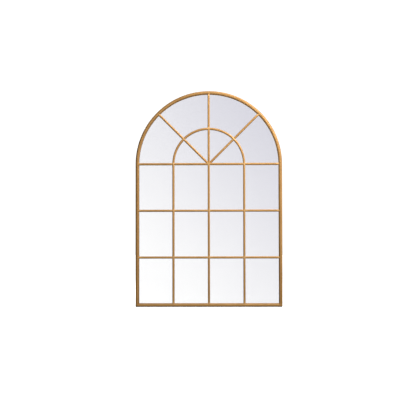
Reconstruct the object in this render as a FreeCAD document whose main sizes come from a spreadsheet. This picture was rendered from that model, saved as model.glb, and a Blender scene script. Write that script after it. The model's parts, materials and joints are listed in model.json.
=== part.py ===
import FreeCAD, Part
import math
import os
import Sketcher

# Arched window-pane wall mirror: a bent and mitred tube frame with a bevelled front, a grid of bevelled
# bars scribed to each other, one sheet of mirror glass, and the board, tabs, hangers and bumpers behind it.
# +X is to the right, +Y points at the wall, +Z is up. The origin is in the middle of the frame's bottom
# edge, on the silvered rear face of the glass.

# Driving sizes, in millimetres, or degrees where the name says angle
SIZES = {
    "mirror_width": 815,
    "mirror_height": 1200,
    "tube_width": 20,
    "tube_depth": 25,
    "tube_wall": 1.2,
    "tube_bevel": 5.8,
    "tube_rear_bevel": 1,
    "bar_width": 12,
    "bar_depth": 7,
    "bar_bevel": 3.5,
    "bar_setback": 0.4,
    "weld_gap": 0.1,
    "radial_angle": 45,
    "glass_thickness": 4,
    "glass_gap": 0.3,
    "glass_clearance": 0.6,
    "tape_thickness": 2,
    "tape_width": 25,
    "tape_length": 640,
    "tape_margin": 70,
    "board_thickness": 9,
    "board_clearance": 1,
    "board_recess": 0.3,
    "button_length": 36,
    "button_width": 12,
    "button_thickness": 1.5,
    "button_clip": 3.5,
    "button_gap": 0.2,
    "screw_radius": 2,
    "screw_play": 0.05,
    "screw_head_flats": 7,
    "screw_head_height": 2.8,
    "screw_head_gap": 0.2,
    "frame_screw_reach": 8,
    "hanger_inset": 60,
    "hanger_drop": 40,
    "strap_width": 16,
    "strap_thickness": 1.2,
    "strap_corner": 3,
    "strap_screw_spacing": 14,
    "strap_screw_edge": 7,
    "hanger_screw_cover": 2,
    "ring_pin_radius": 1.5,
    "ring_play": 0.08,
    "ring_radius": 12.5,
    "ring_corner": 3,
    "ring_drop": 6,
    "ring_gap": 1.5,
    "ring_rest_angle": 1.5,
    "bumper_radius": 6,
    "bumper_height": 6,
    "bumper_inset": 40,
    "overrun": 1,
}

# Places along a piece, as shares of the length that they follow
LEG_BUTTON_SHARES = {"low": 0.22, "high": 0.62}
RAIL_BUTTON_SHARES = {"left": -0.5, "right": 0.5}
TAPE_PLACE_SHARES = (-0.75, -0.25, 0.25, 0.75)
ARCH_BUTTON_ANGLES = {"right": 30, "top": 90, "left": 150}
SIDES = {"left": -1, "right": 1}

# Sketch references: the origin point, the two axes, and the points of an element
ORIGIN_INDEX = -1
ACROSS_AXIS_INDEX = -1
UP_AXIS_INDEX = -2
START, END, MIDDLE = range(1, 4)

# Turns of an arc, seen with the sketch's own axes
ANTICLOCKWISE = "anticlockwise"
CLOCKWISE = "clockwise"

QUARTER_TURN_ANGLE = 90
HALF_TURN_ANGLE = 180

# How closely an edge has to lie at a height to be picked there
EDGE_TOLERANCE = 1e-4

doc = FreeCAD.newDocument("WindowMirror")
sheet = doc.addObject("Spreadsheet::Sheet", "Sizes")
for row, (alias, number) in enumerate(SIZES.items(), start=1):
    sheet.set(f"A{row}", str(number))
    sheet.setAlias(f"A{row}", alias)
doc.recompute()

nodes = {}


class Size:
    """A length kept as a formula on the sheet's cells, so that sums of sizes stay live in the document."""

    def __init__(self, formula):
        self.formula = str(formula)

    def __str__(self):
        return self.formula

    def __float__(self):
        return float(sheet.evalExpression(self.formula))

    def __add__(self, other):
        return Size(f"({self} + {other})")

    def __sub__(self, other):
        return Size(f"({self} - {other})")

    def __mul__(self, other):
        return Size(f"({self} * {other})")

    def __truediv__(self, other):
        return Size(f"({self} / {other})")

    def __neg__(self):
        return Size(f"(-1 * {self})")

    def root(self):
        return Size(f"sqrt({self})")

    def cosine(self):
        return Size(f"cos({self} * 1 deg)")

    def sine(self):
        return Size(f"sin({self} * 1 deg)")


def size(alias):
    """The live value of one cell."""
    return Size(f"Sizes.{alias}")


ZERO = Size(0)

# Sizes that follow from the driving ones
half_width = size("mirror_width") / 2
half_tube = size("tube_width") / 2
half_bar = size("bar_width") / 2
tube_line = half_width - half_tube
tube_inside = half_width - size("tube_width")
spring_height = size("mirror_height") - half_width
over = size("overrun")

# Depths, from the silvered face at zero: the glass and bars lie in front, the tape and board behind
glass_front = -size("glass_thickness")
bar_back = glass_front - size("glass_gap")
board_rear = size("tape_thickness") + size("board_thickness")
tube_rear = board_rear + size("board_recess")
tube_front = tube_rear - size("tube_depth")

# Bars are scribed to each other in this order: each kind stands one setback behind the kind before it
ARCH_LEVEL, CENTER_LEVEL, ROW_LEVEL, RADIAL_LEVEL = range(4)


def bar_front(level):
    """The depth of a bar's flat crest."""
    return bar_back - size("bar_depth") - size("bar_setback") * (RADIAL_LEVEL - level)


# Four equal columns of panes between the legs, three equal rows between the rail and the spring line
pane_column_count = 4
pane_row_count = 3
pane_width = (tube_inside * 2 - size("bar_width") * (pane_column_count - 1)) / pane_column_count
upright_pitch = pane_width + size("bar_width")
row_space = spring_height - size("tube_width") - half_bar - size("bar_width") * (pane_row_count - 1)
row_pitch = row_space / pane_row_count + size("bar_width")


def start_body(label):
    """An empty body with its own label."""
    body = doc.addObject("PartDesign::Body", label)
    body.Label = label
    return body


def start_sketch(body, plane, name, lift=None):
    """A sketch on one of the body's origin planes, moved along that plane's normal by lift."""
    sketch = body.newObject("Sketcher::SketchObject", name)
    support = next(item for item in body.Origin.OriginFeatures if item.Role == plane)
    sketch.AttachmentSupport = [(support, "")]
    sketch.MapMode = "FlatFace"
    if lift is not None:
        sketch.setExpression("AttachmentOffset.Base.z", str(lift))
    return sketch


def hold(sketch, kind, axis, element, point, distance):
    """Tie one coordinate of a sketch point to a size, or to the axis itself where the size is zero."""
    if distance is ZERO:
        sketch.addConstraint(Sketcher.Constraint("PointOnObject", element, point, axis))
        return
    tie = Sketcher.Constraint(kind, ORIGIN_INDEX, START, element, point, float(distance))
    index = sketch.addConstraint(tie)
    sketch.setExpression(f"Constraints[{index}]", str(distance))


def hold_across(sketch, element, point, distance):
    hold(sketch, "DistanceX", UP_AXIS_INDEX, element, point, distance)


def hold_up(sketch, element, point, distance):
    hold(sketch, "DistanceY", ACROSS_AXIS_INDEX, element, point, distance)


def flat_vector(place):
    """The present position of a pair of sizes in a sketch."""
    return FreeCAD.Vector(float(place[0]), float(place[1]), 0)


def draw_side(sketch, start, end, arc):
    """Add one side from start to end, straight or about an arc's centre, and return its point numbers."""
    first, last = flat_vector(start), flat_vector(end)
    if arc is None:
        element = sketch.addGeometry(Part.LineSegment(first, last))
        return element, START, END
    centre, turn = arc
    middle = flat_vector(centre)
    circle = Part.Circle(middle, FreeCAD.Vector(0, 0, 1), (first - middle).Length)
    angles = [math.atan2(point.y - middle.y, point.x - middle.x) for point in (first, last)]
    if turn == CLOCKWISE:
        angles.reverse()
    element = sketch.addGeometry(Part.ArcOfCircle(circle, *angles))
    chord = last - first
    if abs(chord.x) > abs(chord.y):
        hold_up(sketch, element, MIDDLE, centre[1])
    else:
        hold_across(sketch, element, MIDDLE, centre[0])
    return (element, START, END) if turn == ANTICLOCKWISE else (element, END, START)


def draw_path(sketch, corners, arcs=None, closed=True):
    """Draw a path through corners, with an arc on each side that arcs gives a centre and turn for."""
    arcs = arcs or {}
    ends = corners[1:] + corners[:1] if closed else corners[1:]
    sides = []
    for index, (start, end) in enumerate(zip(corners, ends)):
        element, near, far = draw_side(sketch, start, end, arcs.get(index))
        hold_across(sketch, element, near, start[0])
        hold_up(sketch, element, near, start[1])
        sides.append((element, near, far))
    followers = sides[1:] + sides[:1] if closed else sides[1:]
    for (element, near, far), (follower, follower_near, follower_far) in zip(sides, followers):
        sketch.addConstraint(Sketcher.Constraint("Coincident", element, far, follower, follower_near))
    if not closed:
        element, near, far = sides[-1]
        hold_across(sketch, element, far, corners[-1][0])
        hold_up(sketch, element, far, corners[-1][1])


def draw_circle(sketch, centre, radius):
    """Draw a circle with its centre and radius tied to sizes."""
    circle = Part.Circle(flat_vector(centre), FreeCAD.Vector(0, 0, 1), float(radius))
    element = sketch.addGeometry(circle)
    hold_across(sketch, element, MIDDLE, centre[0])
    hold_up(sketch, element, MIDDLE, centre[1])
    index = sketch.addConstraint(Sketcher.Constraint("Radius", element, float(radius)))
    sketch.setExpression(f"Constraints[{index}]", str(radius))


def pad(body, sketch, length, reverse=False, both_ways=False):
    """Grow a sketch into a solid along its normal, against it, or half each way."""
    feature = body.newObject("PartDesign::Pad", "Pad")
    feature.Profile = sketch
    feature.setExpression("Length", str(length))
    feature.Reversed = reverse
    feature.Midplane = both_ways
    doc.recompute()


def cut_away(body, sketch, both_ways=False):
    """Cut a sketch right through the body against its normal, and make sure that it removed something."""
    volume_before = body.Shape.Volume
    feature = body.newObject("PartDesign::Pocket", "Pocket")
    feature.Profile = sketch
    feature.Midplane = both_ways
    feature.Type = "ThroughAll"
    doc.recompute()
    if not body.Shape.Volume < volume_before:
        raise RuntimeError(f"a cut in {body.Label} removed nothing")


def sweep(body, profile, spine):
    """Carry a profile along a spine, as a bent tube or bar."""
    feature = body.newObject("PartDesign::AdditivePipe", "Sweep")
    feature.Profile = profile
    feature.Spine = spine
    doc.recompute()


def round_foot(body, height, radius):
    """Round the two corners of a plate's lower end: the edges through its thickness at that height."""
    plate = body.Tip
    corners = []
    for number, edge in enumerate(plate.Shape.Edges, start=1):
        reach = edge.BoundBox
        at_foot = abs(reach.ZMin - float(height)) < EDGE_TOLERANCE and reach.ZLength < EDGE_TOLERANCE
        if at_foot and reach.XLength < EDGE_TOLERANCE:
            corners.append(f"Edge{number}")
    feature = body.newObject("PartDesign::Fillet", "RoundFoot")
    feature.Base = (plate, corners)
    feature.setExpression("Radius", str(radius))
    doc.recompute()


def place(item, across, depth, up, turn=0, axis=(0, 1, 0)):
    """Put an object at a point, turned about an axis by an angle in degrees or a size."""
    degrees = float(turn)
    item.Placement = FreeCAD.Placement(FreeCAD.Vector(), FreeCAD.Rotation(FreeCAD.Vector(*axis), degrees))
    for letter, distance in zip("xyz", (across, depth, up)):
        item.setExpression(f"Placement.Base.{letter}", str(distance))
    if isinstance(turn, Size):
        item.setExpression("Placement.Rotation.Angle", str(turn))


def keep(item, label):
    """Name an object as one of the mirror's pieces."""
    item.Label = label
    nodes[label] = item


def scribe(bar, label, neighbours):
    """Cut a bar's raw ends back to the faces of the pieces that it is welded to."""
    bar.Label = f"{label}_raw"
    for neighbour in neighbours:
        cut = doc.addObject("Part::Cut", f"{label}_scribe")
        cut.Base = bar
        cut.Tool = neighbour
        bar = cut
    keep(bar, label)


def group(items, label):
    """One node for several identical pieces that stay separate solids."""
    compound = doc.addObject("Part::Compound", label)
    compound.Links = items
    keep(compound, label)


# Sections of the frame tube and of the bars, drawn across the piece and in depth


def draw_bevelled(sketch, across, half, back, front, bevel):
    """A flat-backed bar with straight sides and a flat crest between two 45-degree bevels."""
    draw_path(sketch, [
        (across - half, back),
        (across + half, back),
        (across + half, front + bevel),
        (across + half - bevel, front),
        (across - half + bevel, front),
        (across - half, front + bevel),
    ])


def draw_hollow_tube(sketch, across):
    """The tube's outline, with wide front bevels and small rear ones, and its bore one wall inside."""
    wall, bevel, rear_bevel = size("tube_wall"), size("tube_bevel"), size("tube_rear_bevel")
    draw_path(sketch, [
        (across - half_tube + rear_bevel, tube_rear),
        (across + half_tube - rear_bevel, tube_rear),
        (across + half_tube, tube_rear - rear_bevel),
        (across + half_tube, tube_front + bevel),
        (across + half_tube - bevel, tube_front),
        (across - half_tube + bevel, tube_front),
        (across - half_tube, tube_front + bevel),
        (across - half_tube, tube_rear - rear_bevel),
    ])
    inner_bevel = bevel - wall * (Size(2) - Size(2).root())
    draw_bevelled(sketch, across, half_tube - wall, tube_rear - wall, tube_front + wall, inner_bevel)


def draw_arch_spine(sketch, radius, foot):
    """Up one leg, over the half circle about the spring line's middle, and down the other leg."""
    corners = [(radius, foot), (radius, spring_height), (-radius, spring_height), (-radius, foot)]
    draw_path(sketch, corners, {1: ((ZERO, spring_height), ANTICLOCKWISE)}, closed=False)


def draw_arched_sheet(sketch, half, foot):
    """A panel's outline: square feet, straight sides and a half-circle top on the spring line."""
    corners = [(-half, foot), (half, foot), (half, spring_height), (-half, spring_height)]
    draw_path(sketch, corners, {2: ((ZERO, spring_height), ANTICLOCKWISE)})


# Cutting shapes: the frame and the bars as solids, one weld gap wider at each side


def arch_cutter(label, radius, draw_section):
    """A solid arch that follows the frame tube or the small arch."""
    body = start_body(label)
    profile = start_sketch(body, "XY_Plane", "Profile")
    draw_section(profile, radius)
    spine = start_sketch(body, "XZ_Plane", "Spine")
    draw_arch_spine(spine, radius, ZERO)
    sweep(body, profile, spine)
    return body


def draw_tube_cutter(sketch, across):
    half = half_tube + size("weld_gap")
    draw_bevelled(sketch, across, half, tube_rear, tube_front, size("tube_bevel"))


def draw_bar_cutter(sketch, across, level):
    half = half_bar + size("weld_gap")
    draw_bevelled(sketch, across, half, bar_back + over, bar_front(level), size("bar_bevel"))


def straight_cutter(label, draw_section, length, across, up, turn):
    """A solid straight bar or rail."""
    body = start_body(label)
    profile = start_sketch(body, "XY_Plane", "Profile")
    draw_section(profile, ZERO)
    pad(body, profile, length)
    place(body, across, ZERO, up, turn)
    return body


frame_cutter = arch_cutter("frame_cutter", tube_line, draw_tube_cutter)
small_arch_cutter = arch_cutter(
    "small_arch_cutter", upright_pitch, lambda sketch, across: draw_bar_cutter(sketch, across, ARCH_LEVEL)
)
rail_cutter = straight_cutter(
    "rail_cutter", draw_tube_cutter, size("mirror_width"), -half_width, half_tube, QUARTER_TURN_ANGLE
)
center_cutter = straight_cutter(
    "center_cutter",
    lambda sketch, across: draw_bar_cutter(sketch, across, CENTER_LEVEL),
    size("mirror_height"), ZERO, ZERO, 0,
)
spring_cutter = straight_cutter(
    "spring_cutter",
    lambda sketch, across: draw_bar_cutter(sketch, across, ROW_LEVEL),
    tube_line * 2, -tube_line, spring_height, QUARTER_TURN_ANGLE,
)

# Swivel tabs: where each one is screwed to the frame's flat back, and the way its free end points

button_places = {}
for side, sign in SIDES.items():
    inward = HALF_TURN_ANGLE if sign > 0 else 0
    for height, share in LEG_BUTTON_SHARES.items():
        button_places[f"turn_button_{side}_{height}"] = (tube_line * sign, spring_height * share, inward)
for side, angle in ARCH_BUTTON_ANGLES.items():
    across = tube_line * Size(angle).cosine()
    up = spring_height + tube_line * Size(angle).sine()
    button_places[f"turn_button_arch_{side}"] = (across, up, angle + HALF_TURN_ANGLE)
rail_button_places = {
    f"turn_button_rail_{side}": (tube_inside * share, half_tube, QUARTER_TURN_ANGLE)
    for side, share in RAIL_BUTTON_SHARES.items()
}
screw_hole_radius = size("screw_radius") + size("screw_play")
hole_floor = tube_rear - size("tube_wall") - over


def cut_mitre_feet(body, triangles):
    """Cut the feet of a tube off at 45 degrees, right through its depth."""
    sketch = start_sketch(body, "XZ_Plane", "Mitres")
    for triangle in triangles:
        draw_path(sketch, triangle)
    cut_away(body, sketch, both_ways=True)


def drill_rear_wall(body, places):
    """Drill the screw holes of the tabs through the rear wall of a tube."""
    sketch = start_sketch(body, "XZ_Plane", "Holes", -hole_floor)
    for across, up in places:
        draw_circle(sketch, (across, up), screw_hole_radius)
    cut_away(body, sketch)


# Frame arch: one tube bent into two legs and a half circle, mitred at its feet
body = start_body("frame_arch")
profile = start_sketch(body, "XY_Plane", "Profile")
draw_hollow_tube(profile, tube_line)
spine = start_sketch(body, "XZ_Plane", "Spine")
draw_arch_spine(spine, tube_line, ZERO)
sweep(body, profile, spine)
cut_mitre_feet(body, [
    [
        ((half_width + over) * sign, -over),
        ((tube_inside - over) * sign, -over),
        ((tube_inside - over) * sign, size("tube_width") + over),
    ]
    for sign in SIDES.values()
])
drill_rear_wall(body, [(across, up) for across, up, angle in button_places.values()])
keep(body, "frame_arch")

# Bottom rail: a straight length of the same tube, mitred to the legs. Its own up axis runs along the rail,
# and its own negative across axis points up once it is laid down.
body = start_body("frame_bottom_rail")
profile = start_sketch(body, "XY_Plane", "Profile")
draw_hollow_tube(profile, ZERO)
pad(body, profile, size("mirror_width"))
cut_mitre_feet(body, [
    [
        (half_tube + over, near - over * way),
        (-half_tube - over, near - over * way),
        (-half_tube - over, near + (size("tube_width") + over) * way),
    ]
    for near, way in ((Size(0), 1), (size("mirror_width"), -1))
])
drill_rear_wall(body, [(ZERO, across + half_width) for across, up, angle in rail_button_places.values()])
place(body, -half_width, ZERO, half_tube, QUARTER_TURN_ANGLE)
keep(body, "frame_bottom_rail")
button_places.update(rail_button_places)

# Small arch: one bevelled bar bent into both side uprights and the arch between them, standing on the rail
body = start_body("inner_arch_bar")
profile = start_sketch(body, "XY_Plane", "Profile", half_tube)
draw_bevelled(profile, upright_pitch, half_bar, bar_back, bar_front(ARCH_LEVEL), size("bar_bevel"))
spine = start_sketch(body, "XZ_Plane", "Spine")
draw_arch_spine(spine, upright_pitch, half_tube)
sweep(body, profile, spine)
scribe(body, "inner_arch_rod", [rail_cutter])


def straight_bar(label, level, length, across, up, turn, neighbours):
    """A straight bevelled bar from a point along a direction in the grid, scribed to its neighbours."""
    bar = start_body(f"{label}_bar")
    section = start_sketch(bar, "XY_Plane", "Profile")
    draw_bevelled(section, ZERO, half_bar, bar_back, bar_front(level), size("bar_bevel"))
    pad(bar, section, length)
    place(bar, across, ZERO, up, turn)
    scribe(bar, label, neighbours)


# Middle upright: a lower length under the small arch and an upper length between the two arches
small_arch_top = spring_height + upright_pitch
straight_bar(
    "center_rod_lower", CENTER_LEVEL, small_arch_top - half_tube, ZERO, half_tube, 0,
    [rail_cutter, small_arch_cutter],
)
straight_bar(
    "center_rod_upper", CENTER_LEVEL, tube_line - upright_pitch, ZERO, small_arch_top, 0,
    [small_arch_cutter, frame_cutter],
)

# Cross rows: four short bars in each row, between the legs and the uprights
row_heights = {
    "spring_bar": spring_height,
    "upper_row_bar": spring_height - row_pitch,
    "lower_row_bar": spring_height - row_pitch * 2,
}
column_lines = [-tube_line, -upright_pitch, ZERO, upright_pitch, tube_line]
column_cutters = [frame_cutter, small_arch_cutter, center_cutter, small_arch_cutter, frame_cutter]
for row_name, height in row_heights.items():
    for column in range(pane_column_count):
        near, far = column_lines[column], column_lines[column + 1]
        straight_bar(
            f"{row_name}_{column + 1}", ROW_LEVEL, far - near, near, height, QUARTER_TURN_ANGLE,
            column_cutters[column:column + 2],
        )

# Fan bars: from the middle of the spring line to the small arch, and on from there to the frame
for side, sign in SIDES.items():
    lean = size("radial_angle") * sign
    straight_bar(
        f"radial_bar_{side}_lower", RADIAL_LEVEL, upright_pitch, ZERO, spring_height, lean,
        [center_cutter, spring_cutter, small_arch_cutter],
    )
    straight_bar(
        f"radial_bar_{side}_upper", RADIAL_LEVEL, tube_line - upright_pitch,
        upright_pitch * lean.sine(), spring_height + upright_pitch * lean.cosine(), lean,
        [small_arch_cutter, frame_cutter],
    )

# Mirror glass: one arched sheet, silvered on the rear face, clear of the tube all round
glass_half = tube_inside - size("glass_clearance")
body = start_body("mirror_glass")
outline = start_sketch(body, "XZ_Plane", "Outline")
draw_arched_sheet(outline, glass_half, size("tube_width") + size("glass_clearance"))
pad(body, outline, size("glass_thickness"))
keep(body, "mirror_glass")

# Mounting tape: upright strips of double-sided foam tape between the glass and the board
strips = []
for share in TAPE_PLACE_SHARES:
    strip = doc.addObject("Part::Box", "tape_strip")
    strip.setExpression("Length", str(size("tape_width")))
    strip.setExpression("Width", str(size("tape_thickness")))
    strip.setExpression("Height", str(size("tape_length")))
    place(strip, glass_half * share - size("tape_width") / 2, ZERO, size("tape_margin"))
    strips.append(strip)
group(strips, "mounting_tape")


def hexagon_radius(flats):
    """From the middle of a hexagon to its points."""
    return flats / Size(3).root()


# Hanger places on the board, and the strap's screws below the reach of its hanging ring
hanger_line = tube_inside - size("hanger_inset")
hanger_height = spring_height - size("hanger_drop")
knuckle_bore = size("ring_pin_radius") + size("ring_play")
knuckle_outside = knuckle_bore + size("strap_thickness")
ring_reach = size("ring_drop") + size("ring_radius") + size("ring_pin_radius")
first_screw = ring_reach + size("ring_gap") + hexagon_radius(size("screw_head_flats"))
second_screw = first_screw + size("strap_screw_spacing")
strap_length = second_screw + size("strap_screw_edge")
hanger_screw_reach = size("board_thickness") - size("hanger_screw_cover")
hanger_screw_places = [
    (hanger_line * sign, hanger_height - drop)
    for sign in SIDES.values()
    for drop in (first_screw, second_screw)
]

# Backing board: an arched panel of fibreboard, with blind pilot holes for the hanger screws
body = start_body("backing_board")
outline = start_sketch(body, "XZ_Plane", "Outline", -board_rear)
board_half = tube_inside - size("board_clearance")
draw_arched_sheet(outline, board_half, size("tube_width") + size("board_clearance"))
pad(body, outline, size("board_thickness"))
holes = start_sketch(body, "XZ_Plane", "PilotHoles", hanger_screw_reach - board_rear)
for across, up in hanger_screw_places:
    draw_circle(holes, (across, up), screw_hole_radius)
cut_away(body, holes)
keep(body, "backing_board")

# Swivel tabs: flat steel with clipped corners, drilled at one end
half_button = size("button_width") / 2
for label, (across, up, angle) in button_places.items():
    clip = size("button_clip")
    reach = size("button_length") - half_button
    body = start_body(label)
    outline = start_sketch(body, "XZ_Plane", "Outline")
    draw_path(outline, [
        (clip - half_button, -half_button),
        (reach - clip, -half_button),
        (reach, clip - half_button),
        (reach, half_button - clip),
        (reach - clip, half_button),
        (clip - half_button, half_button),
        (-half_button, half_button - clip),
        (-half_button, clip - half_button),
    ])
    draw_circle(outline, (ZERO, ZERO), screw_hole_radius)
    pad(body, outline, size("button_thickness"), reverse=True)
    place(body, across, tube_rear + size("button_gap"), up, -angle)
    keep(body, label)


def draw_hexagon(sketch, flats):
    """A hexagon with two flats level, at a distance across its flats."""
    rise = flats / 2
    point = hexagon_radius(flats)
    draw_path(sketch, [
        (-point / 2, -rise),
        (point / 2, -rise),
        (point, ZERO),
        (point / 2, rise),
        (-point / 2, rise),
        (-point, ZERO),
    ])


def make_screw(label, grip, reach):
    """A hexagon-head screw along +Y: zero is the face that it is driven into, its head starts at grip."""
    screw = start_body(label)
    shank = start_sketch(screw, "XZ_Plane", "Shank", reach)
    draw_circle(shank, (ZERO, ZERO), size("screw_radius"))
    pad(screw, shank, reach + grip, reverse=True)
    head = start_sketch(screw, "XZ_Plane", "Head", -grip)
    draw_hexagon(head, size("screw_head_flats"))
    pad(screw, head, size("screw_head_height"), reverse=True)
    return screw


def screw_group(label, screw, depth, places):
    """Copies of one screw at several places on one face, as one node."""
    copies = []
    for across, up in places:
        copy = doc.addObject("App::Link", f"{label}_copy")
        copy.LinkedObject = screw
        place(copy, across, depth, up)
        copies.append(copy)
    group(copies, label)


button_grip = size("button_gap") + size("button_thickness") + size("screw_head_gap")
frame_screw = make_screw("frame_screw", button_grip, size("frame_screw_reach"))
button_screw_places = [(across, up) for across, up, angle in button_places.values()]
screw_group("turn_button_screws", frame_screw, tube_rear, button_screw_places)
strap_screw = make_screw("strap_screw", size("strap_thickness"), hanger_screw_reach)
screw_group("hanger_screws", strap_screw, board_rear, hanger_screw_places)


def draw_square(sketch, half):
    """A square about the sketch's origin."""
    draw_path(sketch, [(-half, -half), (half, -half), (half, half), (-half, half)])


# D-ring hangers: a strap rolled round the ring's pin, and a ring of square bar, turned round at its pin
for side, sign in SIDES.items():
    body = start_body(f"hanger_strap_{side}")
    outline = start_sketch(body, "YZ_Plane", "SideOutline")
    roll_end = (knuckle_outside * knuckle_outside - knuckle_bore * knuckle_bore).root()
    corners = [
        (-knuckle_outside, -strap_length),
        (-knuckle_outside, ZERO),
        (-knuckle_bore, -roll_end),
        (-knuckle_bore, -strap_length),
    ]
    draw_path(outline, corners, {1: ((ZERO, ZERO), CLOCKWISE)})
    draw_circle(outline, (ZERO, ZERO), knuckle_bore)
    pad(body, outline, size("strap_width"), both_ways=True)
    holes = start_sketch(body, "XZ_Plane", "ScrewHoles", knuckle_outside + over)
    for drop in (first_screw, second_screw):
        draw_circle(holes, (ZERO, -drop), screw_hole_radius)
    cut_away(body, holes)
    round_foot(body, -strap_length, size("strap_corner"))
    place(body, hanger_line * sign, board_rear + knuckle_outside, hanger_height)
    keep(body, f"hanger_strap_{side}")

    body = start_body(f"hanger_ring_{side}")
    corner, drop, radius = size("ring_corner"), size("ring_drop"), size("ring_radius")
    span = radius - corner
    bend_line = (span * span - (drop - corner) * (drop - corner)).root()
    bow_across = bend_line * radius / span
    bow_up = (drop - corner) * radius / span - drop
    pin = start_sketch(body, "YZ_Plane", "Pin")
    draw_circle(pin, (ZERO, ZERO), size("ring_pin_radius"))
    pad(body, pin, bend_line * 2, both_ways=True)
    bar = start_sketch(body, "YZ_Plane", "Bar", bend_line)
    draw_square(bar, size("ring_pin_radius"))
    loop = start_sketch(body, "XZ_Plane", "Loop")
    corners = [(bend_line, ZERO), (bow_across, bow_up), (-bow_across, bow_up), (-bend_line, ZERO)]
    arcs = {
        0: ((bend_line, -corner), CLOCKWISE),
        1: ((ZERO, -drop), CLOCKWISE),
        2: ((-bend_line, -corner), CLOCKWISE),
    }
    draw_path(loop, corners, arcs, closed=False)
    sweep(body, bar, loop)
    knuckle_depth = board_rear + knuckle_outside
    place(body, hanger_line * sign, knuckle_depth, hanger_height, size("ring_rest_angle"), (1, 0, 0))
    keep(body, f"hanger_ring_{side}")

# Wall bumpers: round rubber pads on the flat back of the bottom rail, near the corners
for side, sign in SIDES.items():
    body = start_body(f"bumper_{side}")
    outline = start_sketch(body, "XZ_Plane", "Outline")
    draw_circle(outline, (ZERO, ZERO), size("bumper_radius"))
    pad(body, outline, size("bumper_height"), reverse=True)
    place(body, (tube_inside - size("bumper_inset")) * sign, tube_rear, half_tube)
    keep(body, f"bumper_{side}")

# Check every object, then write one file for each piece
doc.recompute()
for item in doc.Objects:
    if "Invalid" in item.State or "Error" in item.State:
        raise RuntimeError(f"{item.Label} failed to build: {item.State}")
os.makedirs("parts", exist_ok=True)
for label, item in nodes.items():
    if item.Shape.isNull() or not item.Shape.isValid():
        raise RuntimeError(f"{label} has no valid shape")
for label, item in nodes.items():
    item.Shape.exportStep(f"parts/{label}.step")
    print(label, len(item.Shape.Solids), round(item.Shape.Volume))
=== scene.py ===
import json
import math

import bpy
import numpy as np
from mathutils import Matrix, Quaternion, Vector

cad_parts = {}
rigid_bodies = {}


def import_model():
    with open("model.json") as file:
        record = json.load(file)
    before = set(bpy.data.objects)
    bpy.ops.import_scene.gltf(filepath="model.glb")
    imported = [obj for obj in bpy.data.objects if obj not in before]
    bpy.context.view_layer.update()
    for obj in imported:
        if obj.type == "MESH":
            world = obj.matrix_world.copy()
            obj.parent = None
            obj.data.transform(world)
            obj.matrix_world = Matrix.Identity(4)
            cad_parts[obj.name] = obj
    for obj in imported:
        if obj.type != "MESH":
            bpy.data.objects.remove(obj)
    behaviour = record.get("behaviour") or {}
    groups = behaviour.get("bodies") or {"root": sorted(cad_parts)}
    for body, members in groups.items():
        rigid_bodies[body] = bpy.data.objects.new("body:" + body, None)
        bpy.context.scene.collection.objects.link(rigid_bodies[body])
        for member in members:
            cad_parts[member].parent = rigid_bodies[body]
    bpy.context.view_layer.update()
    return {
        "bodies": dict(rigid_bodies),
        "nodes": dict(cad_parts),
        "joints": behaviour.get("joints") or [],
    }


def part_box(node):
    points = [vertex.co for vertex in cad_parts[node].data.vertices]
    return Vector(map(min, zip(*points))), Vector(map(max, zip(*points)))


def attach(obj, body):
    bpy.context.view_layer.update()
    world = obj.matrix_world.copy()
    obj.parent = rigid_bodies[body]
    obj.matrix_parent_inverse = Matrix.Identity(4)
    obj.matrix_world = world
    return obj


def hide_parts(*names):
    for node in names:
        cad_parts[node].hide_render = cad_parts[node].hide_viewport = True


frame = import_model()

# The frame: a steel tube with bevelled front edges, bent into two legs and a half-circle arch, and a
# straight rail of the same tube across its feet. The corners are mitred, welded and ground flush, and
# the whole frame is painted satin antique gold.

MM = 0.001
tube_bevel = 5.8 * MM
tube_crest_radius = 6.5 * MM
tube_arris_radius = 1.6 * MM
tube_rear_radius = 1.2 * MM
mitre_seam = 0.04 * MM
arc_steps = 8
arch_steps = 145
ring_spacing = 8 * MM
# The tube's coat is a darker copy of the gold: painted shade for the light that falls on the tube.
tube_shade_tone = 0.88
sharp_fold = math.radians(38)
cloud_scale = 14
fleck_scale = 1600
peel_scale = 420
peel_depth = 0.05 * MM
deep_gold = (0.485, 0.245, 0.066)
light_gold = (0.555, 0.292, 0.084)
fleck_gold = (0.62, 0.33, 0.12)
# Painted highlight: the weld gold is brighter gold laid over the welds.
weld_highlight_gold = (0.80, 0.46, 0.165, 1)
# Worn paint and a painted highlight: the rubbed gold is lighter gold along the arrises.
wear_and_sheen_gold = (0.66, 0.38, 0.16, 1)
fleck_share = 0.35
weld_highlight_share = 0.9
wear_and_sheen_share = 0.7

rail_low, rail_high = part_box("frame_bottom_rail")
tube_half = (rail_high.z - rail_low.z) / 2
tube_front = rail_low.y
tube_rear = rail_high.y
tube_line = rail_high.x - tube_half
row_low, row_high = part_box("spring_bar_1")
spring_height = (row_low.z + row_high.z) / 2


def rounded_outline(corners, radii, steps=arc_steps):
    """A closed outline with round corners: each arc touches both sides of its corner, and its points swing
    evenly from the end of one side to the start of the next."""
    corners = np.asarray(corners, float)
    radii = np.asarray(radii, float)[:, None]
    back = np.roll(corners, 1, axis=0) - corners
    ahead = np.roll(corners, -1, axis=0) - corners
    back /= np.linalg.norm(back, axis=1, keepdims=True)
    ahead /= np.linalg.norm(ahead, axis=1, keepdims=True)
    inward = back + ahead
    inward /= np.linalg.norm(inward, axis=1, keepdims=True)
    half_angle = np.arccos((back * ahead).sum(1, keepdims=True)) / 2
    centres = corners + inward * radii / np.sin(half_angle)
    first = (corners + back * radii / np.tan(half_angle) - centres)[:, None]
    last = (corners + ahead * radii / np.tan(half_angle) - centres)[:, None]
    turn = (np.pi - 2 * half_angle)[:, None]
    share = np.linspace(0, 1, steps + 1)[None, :, None]
    arcs = (first * np.sin((1 - share) * turn) + last * np.sin(share * turn)) / np.sin(turn)
    return (centres[:, None] + arcs).reshape(-1, 2)


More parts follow.
